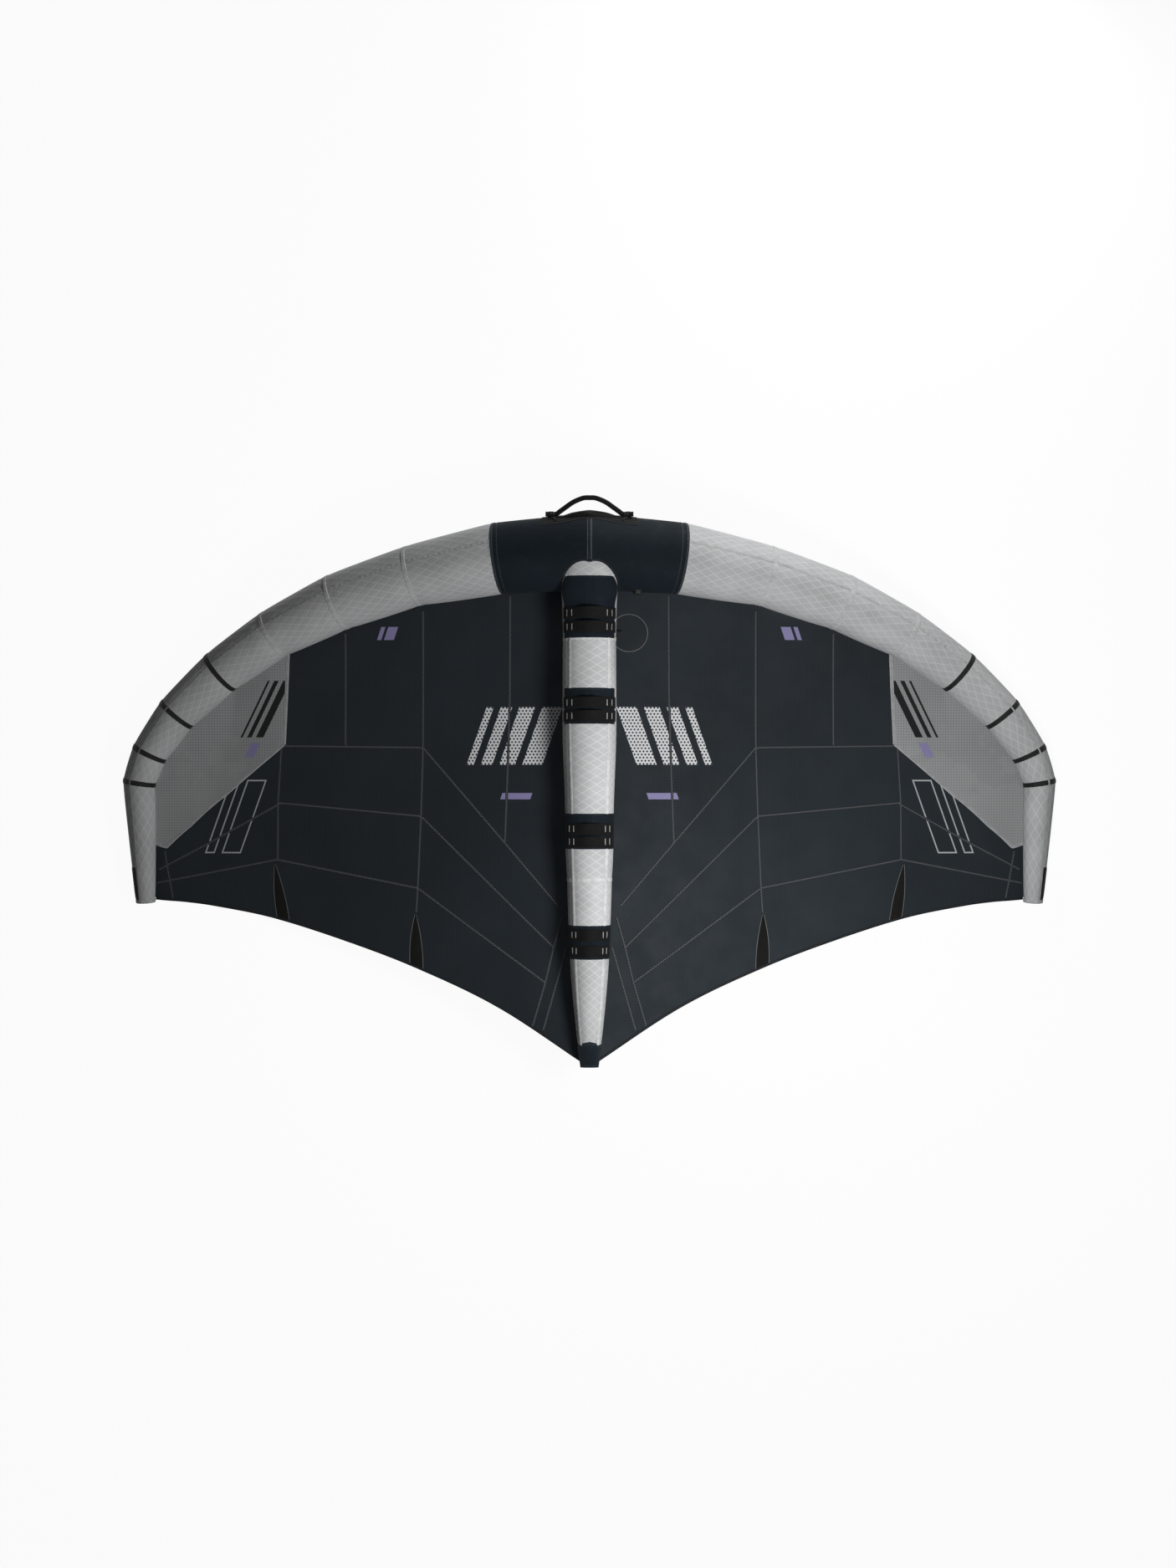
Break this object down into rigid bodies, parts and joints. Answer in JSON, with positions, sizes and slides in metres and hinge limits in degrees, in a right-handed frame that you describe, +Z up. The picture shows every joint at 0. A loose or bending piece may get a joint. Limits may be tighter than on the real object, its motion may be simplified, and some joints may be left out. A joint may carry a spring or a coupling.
{
  "type": "wingfoil wing",
  "caption": "Inflatable hand-held wing: a bent, tapering leading edge tube, a strut with padded webbing straps, a panelled canopy, a swinging front handle and an inflation valve.",
  "frame": {"origin": "on the ground, under the middle of the wing's box, with the wing laid strut up", "axes": "+Y towards the leading edge, +Z up to the strut and its straps, +X to the side with the inflation valve"},
  "size_m": [3.2984, 1.9544, 0.4597],
  "materials": {
    "light_dacron": "woven polyester cloth, satin, with a fine diagonal grid",
    "white_dacron": "woven polyester cloth, satin",
    "navy_fabric": "coated woven cloth, satin",
    "canopy_ripstop": "ripstop cloth, slightly glossy",
    "grey_ripstop": "ripstop cloth with a fine grid",
    "black_webbing": "woven nylon webbing, matt",
    "bladder_film": "translucent film",
    "black_plastic": "moulded, matt"
  },
  "bodies": {
    "airframe": {"air_hose": "black_plastic", "batten_inner_left": "black_webbing", "batten_inner_right": "black_webbing", "batten_outer_left": "black_webbing", "batten_outer_right": "black_webbing", "canopy_grey_tip_left": "grey_ripstop", "canopy_grey_tip_right": "grey_ripstop", "canopy_inner_left": "canopy_ripstop", "canopy_inner_right": "canopy_ripstop", "canopy_outer_left": "canopy_ripstop", "canopy_outer_right": "canopy_ripstop", "canopy_wingtip_left": "canopy_ripstop", "canopy_wingtip_right": "canopy_ripstop", "handle_base": "black_webbing", "handle_knuckle_pad": "navy_fabric", "le_bladder": "bladder_film", "le_center_panel": "navy_fabric", "le_panel_1_left": "light_dacron", "le_panel_1_right": "light_dacron", "le_panel_2_left": "light_dacron", "le_panel_2_right": "light_dacron", "le_panel_3_left": "light_dacron", "le_panel_3_right": "light_dacron", "le_panel_4_left": "light_dacron", "le_panel_4_right": "light_dacron", "le_panel_5_left": "light_dacron", "le_panel_5_right": "light_dacron", "le_panel_6_left": "light_dacron", "le_panel_6_right": "light_dacron", "le_panel_7_left": "light_dacron", "le_panel_7_right": "light_dacron", "le_panel_8_left": "light_dacron", "le_panel_8_right": "light_dacron", "pad_1_strap_front": "black_webbing", "pad_1_strap_rear": "black_webbing", "pad_2_strap_front": "black_webbing", "pad_2_strap_rear": "black_webbing", "pad_3_strap_front": "black_webbing", "pad_3_strap_rear": "black_webbing", "pad_4_strap_front": "black_webbing", "pad_4_strap_rear": "black_webbing", "strut_bladder": "bladder_film", "strut_nose": "white_dacron", "strut_pad_1": "navy_fabric", "strut_pad_2": "navy_fabric", "strut_pad_3": "navy_fabric", "strut_pad_4": "navy_fabric", "strut_pull_tab": "black_webbing", "strut_saddle_seam": "navy_fabric", "strut_sleeve_front": "white_dacron", "strut_sleeve_rear": "white_dacron", "strut_tail_cap": "navy_fabric", "tip_cap_left": "light_dacron", "tip_cap_right": "light_dacron", "trailing_edge_hem_left": "canopy_ripstop", "trailing_edge_hem_right": "canopy_ripstop", "valve_body": "black_plastic"},
    "front_handle": {"handle_grip": "black_webbing"},
    "valve_cap": {"valve_cap": "black_plastic"},
    "valve_poppet": {"valve_poppet": "black_plastic"}
  },
  "joints": [
    {"name": "front_handle_swing", "type": "hinge", "parent": "airframe", "child": "front_handle", "pos_m": [0, 0.9157, 0.36081], "axis": [1, 0, 0], "range_deg": [-50, 60]},
    {"name": "valve_cap_hinge", "type": "hinge", "parent": "airframe", "child": "valve_cap", "pos_m": [0.16691, 0.65586, 0.3477], "axis": [-0.9905, 0.0447, 0.1304], "range_deg": [0, 110]},
    {"name": "valve_poppet_slide", "type": "slide", "parent": "airframe", "child": "valve_poppet", "axis": [0.025, 0.9885, -0.1493], "range_m": [0, 0.004], "stiffness_N_per_m": 200}
  ]
}
